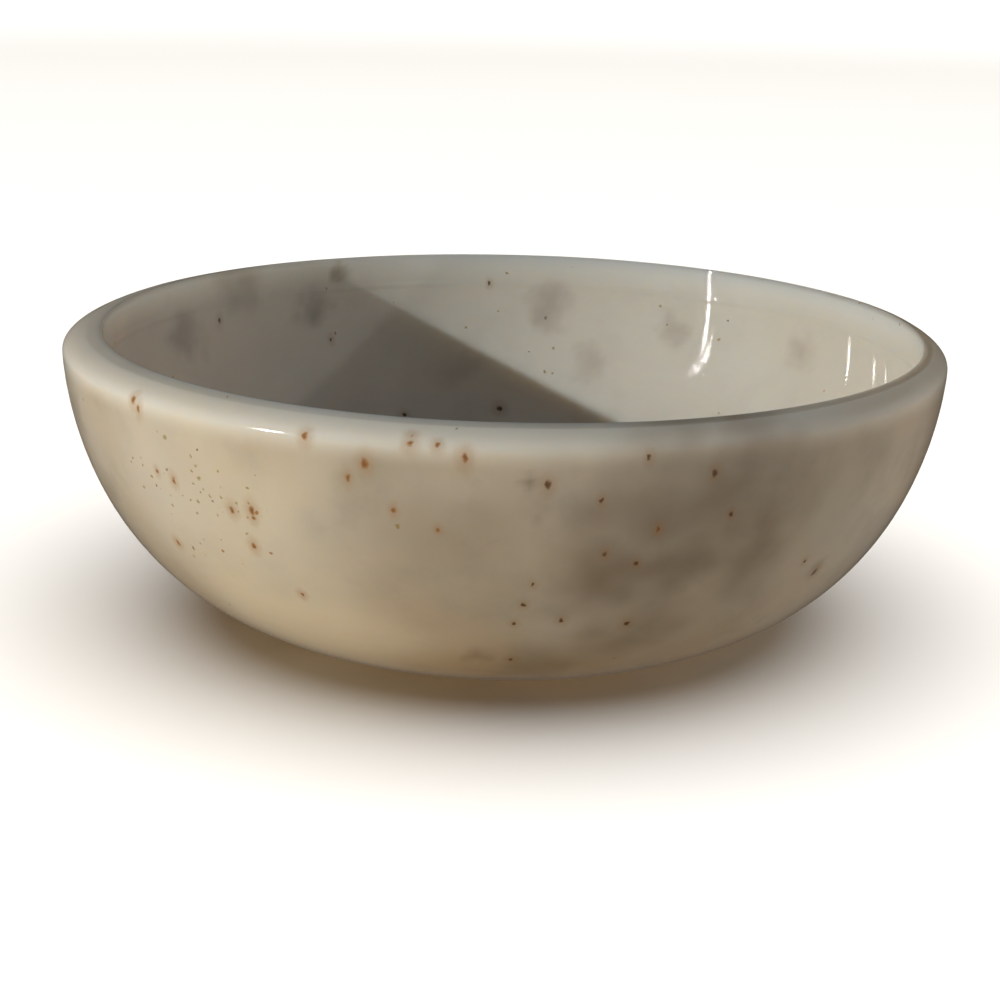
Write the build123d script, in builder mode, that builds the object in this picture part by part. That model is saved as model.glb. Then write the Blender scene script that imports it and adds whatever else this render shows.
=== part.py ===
from build123d import *
import os
from math import cos, radians, sin

# Shaving bowl: one block of stone, turned outside and hollowed inside, with no joint,
# foot ring, lid or lining. Millimetres, +Z up, origin at the centre of the base.

# Driving dimensions
outer_radius = 60.0
height = 41.25
base_radius = 27.0            # flat disc that the bowl stands on

# Outer wall: leaves the base low and wide, and is almost upright under the rim
base_slope = 10.3             # degrees between the base plane and the start of the wall
base_reach = 30.0             # how far the wall holds on to that slope
wall_lean = 2.0               # degrees that the top of the wall still leans outwards
wall_reach = 6.2              # how far down the wall that lean is felt
rim_round = 2.55              # quarter round between the wall and the flat rim

# Hollow: turned about an axis of its own, a little off the bowl's axis,
# so that the flat rim is wider on the -X side than on the +X side
hollow_offset = 1.0
hollow_radius = 55.65
floor_thickness = 8.0
floor_reach = 50.0            # how far out the floor's level tangent is held
hollow_narrowing = 0.15       # how much narrower the hollow is at its wall's control point
hollow_wall_reach = 21.25     # how far below the rim that control point lies
inner_edge_round = 0.6        # polished edge between the flat rim and the hollow

# Points of the outer outline, as radius and height
round_centre = (outer_radius - rim_round, height - rim_round)
wall_top = (
    round_centre[0] + rim_round * cos(radians(wall_lean)),
    round_centre[1] - rim_round * sin(radians(wall_lean)),
)
base_edge = (base_radius, 0.0)
base_control = (
    base_radius + base_reach * cos(radians(base_slope)),
    base_reach * sin(radians(base_slope)),
)
wall_control = (
    wall_top[0] - wall_reach * sin(radians(wall_lean)),
    wall_top[1] - wall_reach * cos(radians(wall_lean)),
)

# Points of the hollow's outline, out from its own axis
floor_centre = (hollow_offset, floor_thickness)
floor_control = (hollow_offset + floor_reach, floor_thickness)
hollow_control = (
    hollow_offset + hollow_radius - hollow_narrowing,
    height - hollow_wall_reach,
)
hollow_edge = (hollow_offset + hollow_radius, height)
hollow_mouth = (hollow_offset, height)
hollow_axis = Axis((hollow_offset, 0.0, 0.0), (0.0, 0.0, 1.0))

with BuildPart() as bowl:
    # The turned block: flat base, curved wall, quarter round and flat rim
    with BuildSketch(Plane.XZ):
        with BuildLine():
            Line((0.0, 0.0), base_edge)
            Bezier(base_edge, base_control, wall_control, wall_top)
            CenterArc(round_centre, rim_round, -wall_lean, 90.0 + wall_lean)
            Line((round_centre[0], height), (0.0, height))
            Line((0.0, height), (0.0, 0.0))
        make_face()
    revolve(axis=Axis.Z)

    # The hollow, from its round floor up through the rim
    with BuildSketch(Plane.XZ):
        with BuildLine():
            Bezier(floor_centre, floor_control, hollow_control, hollow_edge)
            Line(hollow_edge, hollow_mouth)
            Line(hollow_mouth, floor_centre)
        make_face()
    revolve(axis=hollow_axis, mode=Mode.SUBTRACT)

    # The polished inner edge of the rim
    flat_rim = bowl.faces().filter_by(Plane.XY).sort_by(Axis.Z)[-1]
    inner_edge = flat_rim.edges().sort_by(SortBy.LENGTH)[0]
    fillet(inner_edge, inner_edge_round)

bowl.part.label = "bowl"
os.makedirs("parts", exist_ok=True)
export_step(bowl.part, "parts/bowl.step")
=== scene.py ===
import math

import bpy
from mathutils import Matrix, Vector, noise


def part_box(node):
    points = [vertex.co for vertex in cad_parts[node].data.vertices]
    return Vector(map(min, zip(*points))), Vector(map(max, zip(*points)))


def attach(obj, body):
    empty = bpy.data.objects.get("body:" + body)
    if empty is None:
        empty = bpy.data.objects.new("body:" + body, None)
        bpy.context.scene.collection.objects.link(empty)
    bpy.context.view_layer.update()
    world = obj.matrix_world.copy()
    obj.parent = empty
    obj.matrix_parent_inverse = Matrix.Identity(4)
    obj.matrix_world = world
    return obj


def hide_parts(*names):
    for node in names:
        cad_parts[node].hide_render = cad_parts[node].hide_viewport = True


# The shaving bowl's looks: one turned block of polished, cloudy, translucent stone.
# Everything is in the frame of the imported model, in metres, and named sizes are in millimetres.

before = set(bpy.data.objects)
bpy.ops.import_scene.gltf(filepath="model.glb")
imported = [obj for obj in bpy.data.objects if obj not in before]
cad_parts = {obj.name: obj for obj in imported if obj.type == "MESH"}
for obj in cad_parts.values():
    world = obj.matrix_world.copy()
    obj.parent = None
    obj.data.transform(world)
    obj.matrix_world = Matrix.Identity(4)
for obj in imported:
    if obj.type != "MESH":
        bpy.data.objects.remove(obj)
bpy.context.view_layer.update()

MM = 0.001

# The clouds' ragged edges are drawn from this seed, so that every run gives the same stone
cloud_seed = 5
noise.seed_set(cloud_seed)

# ---------------------------------------------------------------- sizes

low_corner, high_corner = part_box("bowl")
outer_radius = (high_corner.x - low_corner.x) / 2 / MM
height = high_corner.z / MM

# Outer wall and rim, with the same curves as the CAD solid
base_radius = 27.0
base_slope = math.radians(10.3)
base_reach = 30.0
wall_lean = math.radians(2.0)
wall_reach = 6.2
rim_round = 2.55

# Rim: the ground flat falls a little outwards to a crease. The hollow's axis is off the bowl's,
# and the crease is off it by half as much.
rim_shift = 0.5
crease_drop = 0.32
crease_slope = math.radians(24)
inner_edge_round = 0.25

# Hollow, with the same curve as the CAD solid
hollow_shift = 1.0
hollow_radius = 55.65
floor_thickness = 8.0
floor_reach = 50.0
hollow_narrowing = 0.15
hollow_reach = 21.25

# Mesh spacing and hand polishing
segments = 360
polish_wave = 0.05            # how deep the hollows left by hand polishing are
polish_wave_length = 17.0
turning_wave = 0.012          # rings left by turning, under the polish
turning_wave_length = 3.1
ring_slope = 0.003            # depth of the fine rings in the hollow, as a share of their spacing
ridge_level = 36.4            # a faint ridge that the polishing left round the hollow's wall
ridge_width = 0.7
ridge_height = 0.06
pit_depth = 0.015             # flecks are a little softer than the stone, so the polish dips there
fleck_squeeze = 0.65          # flecks are about half as tall again as they are wide
speck_spacing = 1.3           # size of the cells that may each hold a speck

# How light goes into the stone: how far in metres, and how far each colour gets of that
stone_ior = 1.52
scatter_depth = 0.008
scatter_reach = (1.0, 0.78, 0.58)

# ---------------------------------------------------------------- outline


def bezier(start, control_a, control_b, end, count):
    """Points of a cubic curve after its start, up to and with its end."""
    points = []
    for step in range(1, count + 1):
        t = step / count
        s = 1 - t
        weights = (s * s * s, 3 * s * s * t, 3 * s * t * t, t * t * t)
        corners = (start, control_a, control_b, end)
        points.append(tuple(sum(w * c[i] for w, c in zip(weights, corners)) for i in (0, 1)))
    return points


def arc(centre, radius, first, last, count):
    """Points of an arc after its first angle, up to and with its last."""
    points = []
    for step in range(1, count + 1):
        angle = first + (last - first) * step / count
        points.append((centre[0] + radius * math.cos(angle), centre[1] + radius * math.sin(angle)))
    return points


def line(start, end, count):
    """Points of a straight run after its start, up to and with its end."""
    return bezier(start, start, end, end, count)


def outer_wall():
    """The wall from the edge of the base up to the quarter round under the rim."""
    round_centre = (outer_radius - rim_round, height - rim_round)
    wall_top = (
        round_centre[0] + rim_round * math.cos(wall_lean),
        round_centre[1] - rim_round * math.sin(wall_lean),
    )
    base_edge = (base_radius, 0.0)
    base_control = (
        base_radius + base_reach * math.cos(base_slope),
        base_reach * math.sin(base_slope),
    )
    wall_control = (
        wall_top[0] - wall_reach * math.sin(wall_lean),
        wall_top[1] - wall_reach * math.cos(wall_lean),
    )
    return bezier(base_edge, base_control, wall_control, wall_top, 72)


def hollow_wall():
    """The hollow from its edge at the rim down to the middle of its floor."""
    edge = (hollow_radius, height - inner_edge_round)
    wall_control = (hollow_radius - hollow_narrowing, height - hollow_reach)
    return bezier(edge, wall_control, (floor_reach, floor_thickness), (0.0, floor_thickness), 96)


def outline():
    """The whole outline, as (radius, level, shift to the side)."""
    rows = [(0.0, 0.0, 0.0)]
    rows += [(r, z, 0.0) for r, z in line((0.0, 0.0), (base_radius, 0.0), 22)]
    rows += [(r, z, 0.0) for r, z in outer_wall()]
    wall_top = rows[-1]
    crease = (outer_radius - rim_round, height - crease_drop)
    rising = 0.5 * (crease[1] - wall_top[1])
    wall_control = (wall_top[0] + rising * math.sin(wall_lean), wall_top[1] + rising)
    crease_control = (
        crease[0] + rising * math.cos(crease_slope),
        crease[1] - rising * math.sin(crease_slope),
    )
    for r, z in bezier(wall_top[:2], wall_control, crease_control, crease, 16):
        risen = (z - wall_top[1]) / (crease[1] - wall_top[1])
        rows.append((r, z, rim_shift * risen ** 2))
    edge_centre = (hollow_radius + inner_edge_round, height - inner_edge_round)
    inner_edge = arc(edge_centre, inner_edge_round, math.radians(90), math.radians(180), 5)
    flat = line(crease, (edge_centre[0], height), 5)
    for step, (r, z) in enumerate(flat, 1):
        rows.append((r, z, rim_shift + (hollow_shift - rim_shift) * step / len(flat)))
    rows += [(r, z, hollow_shift) for r, z in inner_edge + hollow_wall()]
    return rows


# ---------------------------------------------------------------- mesh


def cloud_share(place, clouds):
    """
    How smoky the stone is at a point in millimetres, from the strongest of the clouds there. Some
    clouds are painted shade. A pale cloud, which is painted light, makes it less than zero. Two
    noises, one broad and one fine, make clouds ragged.
    """
    smoky = 0.0
    pale = 0.0
    for centre, radius, strength in clouds:
        if (place - centre).length < 1.6 * radius:
            drift = noise.noise_vector(place / radius * 1.3) + 0.5 * noise.noise_vector(place / radius * 4)
            nearness = max(0.0, 1 - (place - centre + 0.45 * radius * drift).length / radius)
            cloud = strength * nearness * nearness * (3 - 2 * nearness)
            smoky = max(smoky, cloud)
            pale = max(pale, -cloud)
    return smoky - pale


def speck_share(place):
    """The share of small cells that hold a speck: fewest at the front, but for one swarm."""
    azimuth, level, reach = olive_swarm
    swarm = max(0.0, 1 - (place - Vector(on_wall(azimuth, level))).length / reach)
    back = min(max((place.y + 5) / 20, 0.0), 1.0)
    return max(0.008 + 0.022 * back, math.sqrt(swarm))


def rim_edge_shade(angle, shift):
    """Painted shade and dark reflection, laid in brown along the hollow's edge on the rim, strongest on
    the right.
    """
    share = max(0.0, (shift - rim_shift) / (hollow_shift - rim_shift))
    right = min(1.0, 2 * share) * 0.55 * max(0.0, math.cos(angle + 0.35))
    left = max(0.0, share - 0.6) * max(0.0, -math.cos(angle))
    return right + left


def polished(place, out):
    """The place moved a hair inwards where turning and hand polishing took more stone away."""
    hollows = noise.noise(place / (polish_wave_length * MM))
    radius = math.hypot(place.x, place.y) / MM
    rings = math.sin(2 * math.pi * (place.z / MM + 0.6 * radius) / turning_wave_length)
    depth = polish_wave * (0.5 + 0.5 * hollows) + turning_wave * (0.5 + 0.5 * rings)
    return place - out * depth * MM


def turned_mesh(name, rows):
    """
    A closed mesh of the outline turned about the bowl's axis, with one point at each end. Its
    first material is on the outside and rim, and its second in the hollow.
    """
    outer_clouds_and_shading = [(Vector(on_wall(a, z)), r, share) for a, z, r, share in smoky_and_shading_clouds]
    inner_clouds = [(Vector(in_hollow(a, z)), r, share) for a, z, r, share in hollow_clouds]
    places = []
    cloud_and_shade_shares = []
    speck_shares = []
    for index, (radius, level, shift) in enumerate(rows):
        last_row = rows[max(index - 1, 0)]
        next_row = rows[min(index + 1, len(rows) - 1)]
        along = Vector((next_row[0] - last_row[0], next_row[1] - last_row[1])).normalized()
        ring = 1 if radius == 0.0 else segments
        for step in range(ring):
            angle = 2 * math.pi * step / segments
            out = Vector((along.y * math.cos(angle), along.y * math.sin(angle), -along.x))
            place = Vector((shift + radius * math.cos(angle), radius * math.sin(angle), level)) * MM
            if level > 0.0:
                place = polished(place, out)
            places.append(place)
            clouds = inner_clouds if shift == hollow_shift else outer_clouds_and_shading
            # The painted shade along the hollow's edge has the smoky clouds' colour, and lies on the rim's
            # flat and inner edge.
            rim_shade = rim_edge_shade(angle, shift) if level > height - crease_drop else 0.0
            cloud_and_shade_shares.append(rim_shade + cloud_share(place / MM, clouds))
            speck_shares.append(speck_share(place / MM))
    last = len(places) - 1
    faces = []
    materials = []
    for row in range(len(rows) - 1):
        start = 1 + (row - 1) * segments
        above = start + segments
        for step in range(segments):
            after = (step + 1) % segments
            if row == 0:
                faces.append((0, 1 + after, 1 + step))
            elif row == len(rows) - 2:
                faces.append((start + step, start + after, last))
            else:
                faces.append((start + step, start + after, above + after, above + step))
            materials.append(1 if rows[row][2] == hollow_shift else 0)
    mesh = bpy.data.meshes.new(name)
    mesh.from_pydata(places, [], faces)
    mesh.polygons.foreach_set("material_index", materials)
    # The clouds attribute also carries painted shade and, below zero, painted ground light.
    mesh.attributes.new("clouds", "FLOAT", "POINT").data.foreach_set("value", cloud_and_shade_shares)
    mesh.attributes.new("specks", "FLOAT", "POINT").data.foreach_set("value", speck_shares)
    mesh.validate()
    mesh.shade_smooth()
    return mesh


# ---------------------------------------------------------------- marks in the stone

wall_profile = outer_wall()


def on_wall(azimuth, level):
    """The point of the outer wall at an azimuth in degrees and a level in millimetres."""
    radius = outer_radius
    for (r0, z0), (r1, z1) in zip(wall_profile, wall_profile[1:]):
        if z0 <= level <= z1:
            radius = r0 + (r1 - r0) * (level - z0) / (z1 - z0)
    over = level - (height - rim_round)
    if over > 0:
        radius = outer_radius - rim_round + math.sqrt(max(rim_round ** 2 - over ** 2, 0.0))
    turn = math.radians(azimuth)
    return radius * math.cos(turn), radius * math.sin(turn), level


def in_hollow(azimuth, level):
    """The point of the hollow's wall at an azimuth in degrees and a level in millimetres."""
    radius = hollow_radius
    profile = hollow_wall()
    for (r0, z0), (r1, z1) in zip(profile, profile[1:]):
        if z1 <= level <= z0:
            radius = r0 + (r1 - r0) * (level - z0) / (z1 - z0)
    turn = math.radians(azimuth)
    return hollow_shift + radius * math.cos(turn), radius * math.sin(turn), level


# Marks as (azimuth, level, radius). The front of the bowl is at azimuth 270, its left at 180.
rust_flecks = [
    (222, 39, 0.5), (223, 38, 0.45), (248, 39, 0.5), (260, 40.5, 0.45), (260, 39.5, 0.5),
    (263, 39.5, 0.4), (255, 36.5, 0.55), (253, 34.5, 0.4), (266, 38, 0.5), (228, 30, 0.4),
    (225, 30.5, 0.3), (237, 28, 0.45), (240, 28.5, 0.55), (240, 27.5, 0.35), (244, 17.5, 0.35),
    (239, 23.5, 0.45), (224, 20.5, 0.45), (258, 31, 0.35), (263, 29, 0.3), (288, 29, 0.4),
]
brown_flecks = [
    (282, 26, 0.35), (286, 24.5, 0.3), (274, 22, 0.3), (273, 19, 0.35), (278, 16.5, 0.4),
    (287, 15.5, 0.45), (272, 16, 0.35), (272, 9.5, 0.45), (316, 18.5, 0.55), (312, 21, 0.3),
    (297, 30, 0.3), (294, 35.5, 0.45), (286, 38, 0.35), (281, 33, 0.3), (275, 35, 0.45),
]
olive_swarm = (231, 28, 12.5)
hollow_flecks = [(111, 17, 0.5), (92, 17.5, 0.65), (94, 36.5, 0.3), (144, 34, 0.4), (122, 28.5, 0.3)]

# Clouds as (azimuth, level, radius, strength), with a strength below zero for pale ones
# The large smoky clouds on the right front, azimuths 283 to 299, are partly the stone's smoke and partly
# painted shade of the side away from the key light.
smoky_and_shading_clouds = [
    (283, 24, 15, 0.85), (287, 32, 17, 0.7), (299, 27, 15, 0.6), (297, 37, 13, 0.45),
    (291, 13, 12, 0.4), (264, 27, 13, 0.25), (190, 28, 12, 0.35),
    (276, 33, 6, 0.3), (267, 10, 3.4, 0.6), (268, 18, 4.5, 0.25), (294, 36, 3.2, 0.4),
    (273, 35.2, 1.8, 0.75), (274, 30.5, 1.8, 0.4), (284, 37, 4, 0.3), (316, 19, 2.4, 0.5),
    (268, 28, 2.4, 0.3), (248, 28, 3, 0.25), (202, 33, 5, 0.3), (208, 24, 4, 0.25),
    # The large pale cloud at the lower left is painted light thrown up from the sunlit ground.
    (236, 11, 36, -1.0), (274, 4, 17, 0.5), (294, 5, 16, 0.25),
]
hollow_clouds = [
    (125, 33.5, 4.5, 0.6), (120, 39, 2.2, 0.7), (153, 33, 6, 0.45), (139, 39.5, 7, 0.35),
    (84, 33, 5, 0.4), (76, 25, 4, 0.3), (62, 31, 4, 0.35), (36, 31, 4.5, 0.35), (99, 24, 6, 0.2),
]


# ---------------------------------------------------------------- stone

cream = (0.505, 0.455, 0.365)
ivory = (0.585, 0.56, 0.49)
# white is the hollow's paler stone and also the painted sheen on the rim's shoulder.
white_and_sheen = (0.76, 0.745, 0.69)
# Painted light from the sunlit ground, laid by the large pale cloud at the lower left.
painted_ground_light = (0.76, 0.69, 0.54)
tan = (0.54, 0.43, 0.275)
clay = (0.54, 0.385, 0.22)
# smoke is the stone's smoky clouds, and also painted shade on the right front and along the hollow's edge
# on the rim.
smoke_and_shade = (0.27, 0.22, 0.165)
grey_green = (0.345, 0.33, 0.27)
rust = (0.36, 0.17, 0.05)
rust_halo = (0.42, 0.26, 0.13)
brown = (0.15, 0.075, 0.035)
olive = (0.34, 0.27, 0.09)


class Nodes:
    """A short way to add and link a material's nodes."""

    def __init__(self, tree):
        self.tree = tree

    def add(self, kind, inputs=(), output=0, **settings):
        """Adds a node, sets or links its inputs, and returns one of its outputs."""
        made = self.tree.nodes.new(kind)
        for key, value in settings.items():
            setattr(made, key, value)
        for key, value in dict(inputs).items():
            if isinstance(value, bpy.types.NodeSocket):
                self.tree.links.new(value, made.inputs[key])
            else:
                made.inputs[key].default_value = value
        return made.outputs[output] if made.outputs else None

    def maths(self, operation, a, b=0.0):
        return self.add("ShaderNodeMath", {0: a, 1: b}, operation=operation)

    def vector(self, operation, a, b, output=0):
        return self.add("ShaderNodeVectorMath", {0: a, 1: b}, output=output, operation=operation)

    def ramp(self, value, low, high, to_low=0.0, to_high=1.0):
        """value from low to high, smoothly turned into a number from to_low to to_high."""
        inputs = {"Value": value, "From Min": low, "From Max": high, "To Min": to_low, "To Max": to_high}
        return self.add("ShaderNodeMapRange", inputs, interpolation_type="SMOOTHSTEP")

    def noise(self, coords, size, detail=2.0, roughness=0.5, output=0):
        """Cloudy noise whose features are about size millimetres across."""
        inputs = {"Vector": coords, "Scale": 1.0 / size, "Detail": detail, "Roughness": roughness}
        return self.add("ShaderNodeTexNoise", inputs, output=output)

    def ragged(self, coords, size, by):
        """The same coordinates shaken by a noise, so that round marks come out uneven."""
        shake = self.vector("SUBTRACT", self.noise(coords, size, 2, output=1), (0.5, 0.5, 0.5))
        return self.vector("ADD", coords, self.vector("MULTIPLY", shake, (by, by, by)))

    def mix(self, share, a, b):
        """Colour a turning into colour b by share."""
        a = a if isinstance(a, bpy.types.NodeSocket) else (*a, 1.0)
        b = b if isinstance(b, bpy.types.NodeSocket) else (*b, 1.0)
        inputs = {0: share, 6: a, 7: b}
        return self.add("ShaderNodeMix", inputs, output=2, data_type="RGBA")

    def nearest(self, coords, places):
        """How far the nearest mark is, in its own radii, so that 1 is at its edge."""
        field = None
        for place, radius in places:
            distance = self.vector("DISTANCE", coords, place, output=1)
            share = self.maths("DIVIDE", distance, radius)
            field = share if field is None else self.maths("MINIMUM", share, field)
        return field


def stone_ground(n, coords, level, paler):
    """Cream stone with ivory, tan and grey-green clouds, browner at its foot, and whiter at its rim as
    painted sheen.
    """
    broad = n.ramp(n.noise(coords, 38, 2), 0.36, 0.66)
    colour = n.mix(broad, cream, ivory)
    warm = n.noise(n.vector("ADD", coords, (31, 7, 3)), 24, 3, 0.5)
    colour = n.mix(n.ramp(warm, 0.45, 0.75, 0.0, 0.4 * (1 - paler)), colour, tan)
    foot = n.maths("ADD", level, n.ramp(broad, 0, 1, -4, 4))
    colour = n.mix(n.ramp(foot, 17, 1, 0.0, 0.6), colour, clay)
    clouds = n.noise(n.vector("ADD", coords, (5, 60, 11)), 10, 4, 0.6)
    colour = n.mix(n.ramp(clouds, 0.42, 0.80, 0.0, 0.5), colour, grey_green)
    # Painted sheen: the rim's shoulder, a little less its flat, and the top of the hollow's wall are laid
    # whiter, as sky light falls on them.
    shoulder_sheen = n.ramp(level, height - 5.0, height - 1.4, paler, 0.9)
    flat = n.ramp(level, height - crease_drop - 0.06, height - crease_drop + 0.02, 1.0, 0.85)
    return n.mix(n.maths("MULTIPLY", shoulder_sheen, flat), colour, white_and_sheen)


def add_specks(n, coords, colour):
    """Small olive, brown and rust specks, one in some of the cells of a grid."""
    cell = n.add("ShaderNodeTexVoronoi", {"Vector": coords, "Scale": 1.0 / speck_spacing})
    draws = n.add("ShaderNodeSeparateXYZ", {0: cell.node.outputs["Color"]}).node.outputs
    share = n.add("ShaderNodeAttribute", output=2, attribute_name="specks")
    chosen = n.maths("LESS_THAN", draws[0], share)
    reach = n.maths("MULTIPLY_ADD", n.maths("POWER", draws[1], 3), 0.13)
    reach.node.inputs[2].default_value = 0.20
    spot = n.ramp(n.maths("DIVIDE", cell, reach), 1.0, 0.35)
    tint = n.mix(n.ramp(draws[2], 0.6, 0.65), olive, n.mix(n.ramp(draws[2], 0.8, 0.85), rust, brown))
    return n.mix(n.maths("MULTIPLY", spot, n.maths("MULTIPLY", chosen, 0.85)), colour, tint)


def make_stone(name, finish, paler, flecks, ring_spacings=(), **grain):
    """
    The polished stone: light goes a few millimetres in and comes out warmer. finish is the
    roughness from its smoothest to its dullest, and paler is the share of ivory laid over all.
    flecks are (points, colour, halo strength). ring_spacings and grain are for where the polish
    runs in fine rings.
    """
    material = bpy.data.materials.new(name)
    material.use_nodes = True
    tree = material.node_tree
    tree.nodes.clear()
    n = Nodes(tree)
    objects = n.add("ShaderNodeTexCoord", output=3)
    coords = n.vector("MULTIPLY", objects, (1 / MM, 1 / MM, 1 / MM))
    level = n.add("ShaderNodeSeparateXYZ", {0: coords}, output=2)
    colour = stone_ground(n, coords, level, paler)
    # The clouds attribute holds the stone's smoky clouds, with painted shade on the right front and along
    # the hollow's edge on the rim, and below zero painted ground light.
    clouds = n.add("ShaderNodeAttribute", output=2, attribute_name="clouds")
    colour = n.mix(clouds, colour, smoke_and_shade)
    # Painted ground light, where the clouds attribute is below zero.
    colour = n.mix(n.maths("MULTIPLY", clouds, -1), colour, painted_ground_light)

    uneven = n.ragged(coords, 0.8, 0.7)
    upright = n.vector("MULTIPLY", uneven, (1, 1, fleck_squeeze))
    pits = 0.0
    for places, tint, halo in flecks:
        near = n.nearest(upright, places)
        colour = n.mix(n.ramp(near, 3.4, 0.5, 0.0, halo), colour, rust_halo)
        inside = n.ramp(near, 1.0, 0.4)
        colour = n.mix(n.maths("MULTIPLY", inside, 0.9), colour, tint)
        colour = n.mix(n.ramp(near, 0.55, 0.1, 0.0, 0.55), colour, brown)
        pits = n.maths("MAXIMUM", inside, pits)
    colour = add_specks(n, uneven, colour)
    relief = n.maths("MULTIPLY", pits, -pit_depth)
    for spacing in ring_spacings:
        ring = n.maths("SINE", n.maths("MULTIPLY", level, 2 * math.pi / spacing))
        relief = n.maths("ADD", relief, n.maths("MULTIPLY", ring, spacing * ring_slope))
    if ring_spacings:
        off_ridge = n.maths("ABSOLUTE", n.maths("SUBTRACT", level, ridge_level))
        relief = n.maths("ADD", relief, n.ramp(off_ridge, ridge_width, 0.0, 0.0, ridge_height))
    bump = n.add("ShaderNodeBump", {"Strength": 1.0, "Distance": MM, "Height": relief})
    inputs = {
        "Base Color": colour, "Roughness": n.ramp(n.noise(coords, 9, 3), 0.3, 0.7, *finish),
        "Normal": bump, "IOR": stone_ior, "Subsurface Weight": 1.0,
        "Subsurface Radius": scatter_reach, "Subsurface Scale": scatter_depth,
    }
    shader = n.add("ShaderNodeBsdfPrincipled", inputs)
    if grain:
        around = n.add("ShaderNodeTangent", direction_type="RADIAL", axis="Z")
        tree.links.new(around, shader.node.inputs["Tangent"])
        for key, value in grain.items():
            shader.node.inputs[key.replace("_", " ").title()].default_value = value
    n.add("ShaderNodeOutputMaterial", {"Surface": shader})
    return material


def squeezed(place, radius):
    """A fleck's place and radius in the squeezed levels that make flecks taller than wide."""
    return (place[0], place[1], place[2] * fleck_squeeze), radius


def outer_stone():
    """The outside: rust flecks and brown ones, with stained halos."""
    rusty = [squeezed(on_wall(a, z), r) for a, z, r in rust_flecks]
    browns = [squeezed(on_wall(a, z), r) for a, z, r in brown_flecks]
    flecks = [(rusty, rust, 0.4), (browns, brown, 0.35)]
    return make_stone("outer_stone", (0.08, 0.14), 0.0, flecks)


def hollow_stone():
    """The hollow: polished on the lathe in fine rings, so that a glint draws out along the wall."""
    flecks = [squeezed(in_hollow(a, z), r) for a, z, r in hollow_flecks]
    grain = {"anisotropic": 1.0, "anisotropic_rotation": 0.25}
    rings = (0.17, 0.23, 0.41)
    return make_stone("hollow_stone", (0.04, 0.05), 0.6, [(flecks, brown, 0.3)], rings, **grain)


bowl = bpy.data.objects.new("stone_bowl", turned_mesh("stone_bowl", outline()))
bpy.context.scene.collection.objects.link(bowl)
bowl.data.materials.append(outer_stone())
bowl.data.materials.append(hollow_stone())
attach(bowl, "root")
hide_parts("bowl")

# ---------------------------------------------------------------- floor, lights and camera


# The camera's eye, in metres: so far from the bowl and lifted by a share of its radius
eye_rise = math.radians(11.97)
eye_distance = 0.3
eye_lift = 0.645
eye = Vector((0, -math.cos(eye_rise), math.sin(eye_rise))) * eye_distance
eye.z += eye_lift * outer_radius * MM


def plain_material(name, colour, roughness):
    """A matt studio surface."""
    material = bpy.data.materials.new(name)
    material.use_nodes = True
    shader = material.node_tree.nodes["Principled BSDF"]
    shader.inputs["Base Color"].default_value = (*colour, 1.0)
    shader.inputs["Roughness"].default_value = roughness
    return material


def make_floor():
    """
    A wide pale floor in metres that curves up all round into a wall, and fills the view. It
    glows faintly far from the bowl, where the lights don't reach.
    """
    flat_reach = 1.8
    curve = 0.5
    wall_top = 2.5
    turns = 96
    glow = 0.9
    rows = line((0.0, 0.0), (flat_reach, 0.0), 12)
    rows += arc((flat_reach, curve), curve, math.radians(-90), 0.0, 12)
    rows.append((flat_reach + curve, wall_top))
    angles = [2 * math.pi * step / turns for step in range(turns)]
    places = [(r * math.cos(angle), r * math.sin(angle), z) for r, z in rows for angle in angles]
    faces = [tuple(range(turns))]
    for start in range(0, turns * (len(rows) - 1), turns):
        for step in range(turns):
            after = (step + 1) % turns
            faces.append((start + step, start + turns + step, start + turns + after, start + after))
    mesh = bpy.data.meshes.new("floor")
    mesh.from_pydata(places, [], faces)
    mesh.shade_smooth()
    material = plain_material("pale_floor", (0.86, 0.84, 0.81), 0.8)
    material.cycles.emission_sampling = "NONE"
    shader = material.node_tree.nodes["Principled BSDF"]
    shader.inputs["Emission Color"].default_value = (1.0, 0.985, 0.96, 1.0)
    n = Nodes(material.node_tree)
    objects = n.add("ShaderNodeTexCoord", output=3)
    away = n.add("ShaderNodeVectorMath", {0: objects}, output=1, operation="LENGTH")
    share = n.ramp(away, flat_reach / 2, flat_reach, 0.0, glow)
    material.node_tree.links.new(share, shader.inputs["Emission Strength"])
    mesh.materials.append(material)
    floor = bpy.data.objects.new("floor", mesh)
    bpy.context.scene.collection.objects.link(floor)
    floor.visible_diffuse = False
    floor.visible_glossy = False
    floor.visible_shadow = False
    return floor


def area_light(name, azimuth, elevation, distance, size, power, colour, lit):
    """A round light that faces the bowl from a direction given in degrees, and lights only lit."""
    turn, rise = math.radians(azimuth), math.radians(elevation)
    towards = Vector((math.cos(turn) * math.cos(rise), math.sin(turn) * math.cos(rise), math.sin(rise)))
    light = bpy.data.lights.new(name, "AREA")
    light.shape = "DISK"
    light.size = size
    light.energy = power
    light.color = colour
    lamp = bpy.data.objects.new(name, light)
    lamp.location = towards * distance + Vector((0, 0, height * MM / 2))
    lamp.rotation_euler = towards.to_track_quat("Z", "Y").to_euler()
    bpy.context.scene.collection.objects.link(lamp)
    receivers = bpy.data.collections.new(name + "_lights")
    receivers.objects.link(lit)
    lamp.light_linking.receiver_collection = receivers
    return lamp


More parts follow.
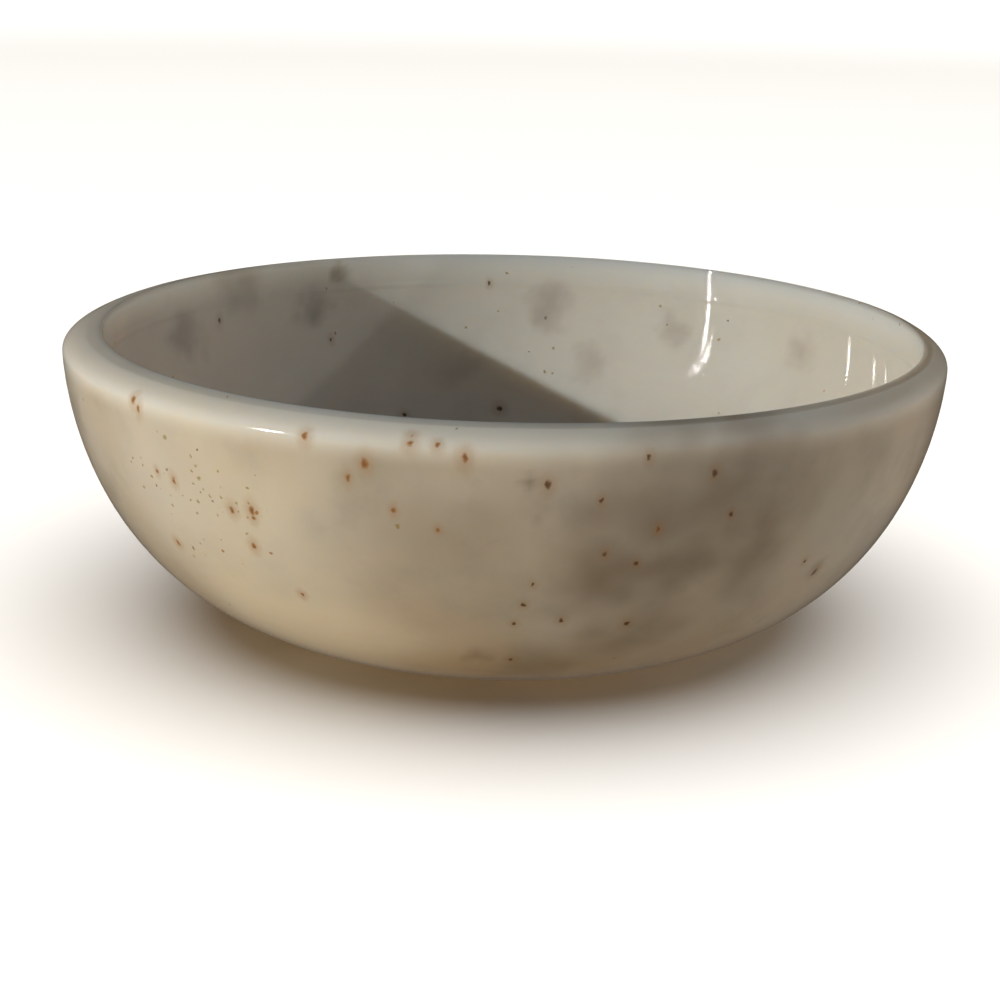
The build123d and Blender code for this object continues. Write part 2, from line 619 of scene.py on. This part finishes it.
def make_world(sky, right_sky, ground, right_ground, below, backdrop, high_behind):
    """Soft light from all round: cool from above, brighter on the right, warm from the ground."""
    world = bpy.data.worlds.new("studio")
    world.use_nodes = True
    n = Nodes(world.node_tree)
    direction = n.add("ShaderNodeTexCoord", output=0)
    across = n.add("ShaderNodeSeparateXYZ", {0: direction})
    ahead = across.node.outputs[1]
    rise = across.node.outputs[2]
    air = n.mix(n.ramp(across, 0.2, 0.9), sky, right_sky)
    around = n.mix(n.ramp(across, -0.6, 0.6), ground, right_ground)
    land = n.mix(n.ramp(rise, -1.0, -0.1), below, around)
    colour = n.mix(n.ramp(rise, -0.12, 0.12), land, air)
    behind = n.ramp(ahead, 0.55, 0.9)
    colour = n.mix(n.maths("MULTIPLY", behind, n.ramp(rise, 0.35, 0.2)), colour, backdrop)
    high = n.maths("MULTIPLY", n.ramp(ahead, 0.2, 0.6), n.ramp(rise, 0.3, 0.5))
    background = world.node_tree.nodes["Background"]
    world.node_tree.links.new(n.mix(high, colour, high_behind), background.inputs["Color"])
    bpy.context.scene.world = world


def make_bounce():
    """The sun thrown back by the right wall of the hollow on its left wall, with a clear edge."""
    light = bpy.data.lights.new("bounce", "SPOT")
    light.energy = 0.019
    light.color = (1.0, 0.94, 0.86)
    light.spot_size = math.radians(60)
    light.spot_blend = 0.06
    light.shadow_soft_size = 0.0
    lamp = bpy.data.objects.new("bounce", light)
    lamp.location = Vector((50, 5, 36)) * MM
    target = Vector((-45, 27, 68)) * MM
    lamp.rotation_euler = (lamp.location - target).to_track_quat("Z", "Y").to_euler()
    lamp.visible_glossy = False
    bpy.context.scene.collection.objects.link(lamp)


def hollow_normal(azimuth, level):
    """Straight out of the hollow's wall, towards its axis."""
    up = (Vector(in_hollow(azimuth, level + 1)) - Vector(in_hollow(azimuth, level - 1))).normalized()
    turn = math.radians(azimuth)
    inward = Vector((-math.cos(turn), -math.sin(turn), 0.0))
    return (inward - up * inward.dot(up)).normalized()


def make_glint(name, place, normal, distance, size, reach, brightness):
    """
    A small upright light, placed where the camera sees it mirrored at one place of the stone.
    It reaches only so many millimetres of the stone, and shows only as a glint.
    """
    light = bpy.data.lights.new(name, "AREA")
    light.shape = "RECTANGLE"
    light.size, light.size_y = size[0] * MM, size[1] * MM
    half_spread = math.atan(reach / 2 / distance)
    light.spread = 2 * half_spread
    light.energy = brightness * light.size * light.size_y * half_spread ** 2
    light.color = (1.0, 0.98, 0.95)
    seen = (eye - Vector(place) * MM).normalized()
    towards = 2 * seen.dot(normal) * normal - seen
    lamp = bpy.data.objects.new(name, light)
    lamp.location = (Vector(place) + towards * distance) * MM
    lamp.rotation_euler = towards.to_track_quat("Z", "Y").to_euler()
    lamp.visible_diffuse = False
    lamp.visible_camera = False
    lamp.visible_transmission = False
    bpy.context.scene.collection.objects.link(lamp)


def make_camera():
    """A long lens a little above the rim, tilted slightly as a hand would hold it."""
    tilt = math.radians(1.39)
    aim = Vector((-0.0002, 0, 0.0159))
    lens = bpy.data.cameras.new("camera")
    lens.lens = 78.07
    lens.sensor_width = 36.0
    camera = bpy.data.objects.new("camera", lens)
    facing = (aim - eye).to_track_quat("-Z", "Y").to_matrix().to_4x4()
    camera.matrix_world = Matrix.Translation(eye) @ facing @ Matrix.Rotation(tilt, 4, "Z")
    bpy.context.scene.collection.objects.link(camera)
    bpy.context.scene.camera = camera


floor = make_floor()
make_world(
    sky=(0.036, 0.044, 0.054), right_sky=(0.33, 0.335, 0.335),
    ground=(0.50, 0.39, 0.27), right_ground=(0.60, 0.50, 0.40), below=(0.10, 0.06, 0.02),
    backdrop=(0.10, 0.085, 0.07), high_behind=(0.08, 0.08, 0.08),
)
key = area_light("key", 212, 16, 1.3, 0.013, 12.7, (1.0, 0.965, 0.90), bowl)
key.visible_glossy = False
side = area_light("side", 350, 1, 1.3, 0.4, 1.6, (0.86, 0.94, 1.0), bowl)
side.visible_glossy = False
sunlit_ground = area_light("sunlit_ground", 235, -40, 1.3, 0.5, 1.3, (1.0, 0.84, 0.62), bowl)
sunlit_ground.visible_glossy = False
make_bounce()

# The low sun's glint, in two lengths, and the three glints of its light thrown on round the
# hollow, as (azimuth, level, distance, (width, height), reach, brightness)
hollow_glints = [
    (55.7, 32, 78, (0.35, 24), 57, 95), (55.4, 27, 78, (0.35, 24), 57, 95),
    (24.5, 32, 48, (0.4, 4), 8, 30), (16.5, 32.3, 38, (0.3, 2), 5, 20),
    (12.5, 32.5, 34, (0.2, 1.2), 3, 15),
]
for number, (azimuth, level, *rest) in enumerate(hollow_glints):
    place = in_hollow(azimuth, level)
    make_glint(f"hollow_glint_{number}", place, hollow_normal(azimuth, level), *rest)

# The sun's glint on the rim's shoulder
rim_place = on_wall(243.4, height - 1.5)
rim_normal = (Vector(rim_place) * Vector((1, 1, 0))).normalized() + Vector((0, 0, 0.3))
make_glint("rim_glint", rim_place, rim_normal.normalized(), 60, (8, 6), 30, 220)
area_light("floor_wash", 270, 80, 3.0, 5.0, 200, (1.0, 0.985, 0.96), floor)
make_camera()
bpy.context.scene.view_settings.view_transform = "Standard"
